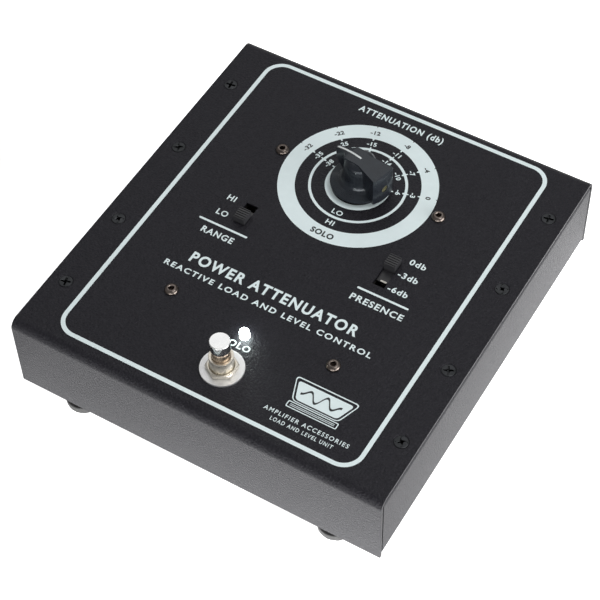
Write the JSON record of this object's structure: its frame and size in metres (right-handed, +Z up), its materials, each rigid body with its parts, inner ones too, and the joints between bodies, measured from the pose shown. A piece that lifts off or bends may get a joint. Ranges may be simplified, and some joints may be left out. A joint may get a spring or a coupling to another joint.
{
  "type": "guitar power attenuator",
  "caption": "Desktop reactive power attenuator in a folded steel case with a stepped attenuation knob, slide switches and a solo footswitch.",
  "frame": {"origin": "on the floor under the centre of the overall box, at the bottom of the rubber feet", "axes": "+Z up out of the control panel, +Y towards the rear connectors, +X to the user's right"},
  "size_m": [0.2, 0.23, 0.0772],
  "materials": {
    "powder_coat": "fine sandy powder coat, near black, low sheen",
    "black_screw": "black oxide",
    "zinc": "zinc plated",
    "rubber": "moulded, matt",
    "circuit_board": "green solder mask",
    "bronze_screw": "dark bronze finish",
    "brass": "plain",
    "bakelite": "moulded thermoset, semi gloss",
    "nickel": "nickel plated",
    "switch_steel": "plated",
    "black_plastic": "moulded",
    "satin_washer": "satin, pale grey",
    "chrome": "polished",
    "lamp_lens": "water clear lens, lit white",
    "white_plastic": "moulded",
    "copper": "enamelled wire",
    "core_steel": "varnished laminations",
    "aluminium": "mill finish",
    "resistor_gold": "gold anodised",
    "red_plastic": "dipped",
    "board_parts": "lacquered",
    "red_wire": "insulation"
  },
  "bodies": {
    "case": {"top_cover": "powder_coat", "base_chassis": "powder_coat", "cover_screws": "black_screw", "clinch_nuts": "zinc", "rubber_feet": "rubber", "foot_washers": "zinc", "foot_screws": "zinc", "foot_nuts": "zinc", "control_board": "circuit_board", "board_screws": "bronze_screw", "board_standoffs": "brass", "board_lower_screws": "zinc", "rotary_switch_body": "bakelite", "rotary_switch_washer": "nickel", "rotary_switch_nut": "nickel", "range_switch_frame": "switch_steel", "presence_switch_frame": "switch_steel", "footswitch_body": "nickel", "footswitch_lock_nut": "nickel", "footswitch_washer": "satin_washer", "footswitch_nut": "nickel", "solo_lamp": "lamp_lens", "amp_input_jack": "black_plastic", "speaker_output_jack": "black_plastic", "line_output_jack": "black_plastic", "jack_washers": "nickel", "jack_nuts": "nickel", "line_level_pot": "zinc", "line_level_nut": "nickel", "power_inlet": "black_plastic", "power_inlet_nut": "nickel", "load_coil_bobbin": "white_plastic", "load_coil_winding": "copper", "load_coil_bolt": "zinc", "transformer_core": "core_steel", "transformer_winding": "copper", "transformer_brackets": "zinc", "transformer_screws": "zinc", "heat_spreader": "aluminium", "power_resistors": "resistor_gold", "resistor_screws": "zinc", "relays": "white_plastic", "film_capacitors": "red_plastic", "electrolytic_capacitors": "black_plastic", "board_resistors": "board_parts", "wire_headers": "white_plastic", "amp_input_wires": "red_wire", "speaker_output_wires": "red_wire", "line_output_wires": "red_wire"},
    "dial": {"attenuation_knob": "bakelite", "knob_set_screw": "brass", "rotary_switch_shaft": "nickel"},
    "range_slider": {"range_switch_lever": "black_plastic"},
    "presence_slider": {"presence_switch_lever": "black_plastic"},
    "solo_button": {"footswitch_button": "chrome", "footswitch_spring": "zinc"},
    "line_level": {"line_level_shaft": "nickel", "line_level_knob": "black_plastic"}
  },
  "joints": [
    {"name": "attenuation_turn", "type": "hinge", "parent": "case", "child": "dial", "pos_m": [0.0012, 0.0411, 0.0555], "axis": [0, 0, 1], "range_deg": [-150, 0]},
    {"name": "range_slide", "type": "slide", "parent": "case", "child": "range_slider", "axis": [0, 1, 0], "range_m": [0, 0.0061]},
    {"name": "presence_slide", "type": "slide", "parent": "case", "child": "presence_slider", "axis": [0, -1, 0], "range_m": [0, 0.0109]},
    {"name": "solo_press", "type": "slide", "parent": "case", "child": "solo_button", "axis": [0, 0, -1], "range_m": [0, 0.0045], "stiffness_N_per_m": 1500, "springref_m": -0.002, "deforming": ["footswitch_spring"]},
    {"name": "line_level_turn", "type": "hinge", "parent": "case", "child": "line_level", "pos_m": [0.044, 0.101, 0.0305], "axis": [0, 1, 0], "range_deg": [-150, 150]}
  ]
}
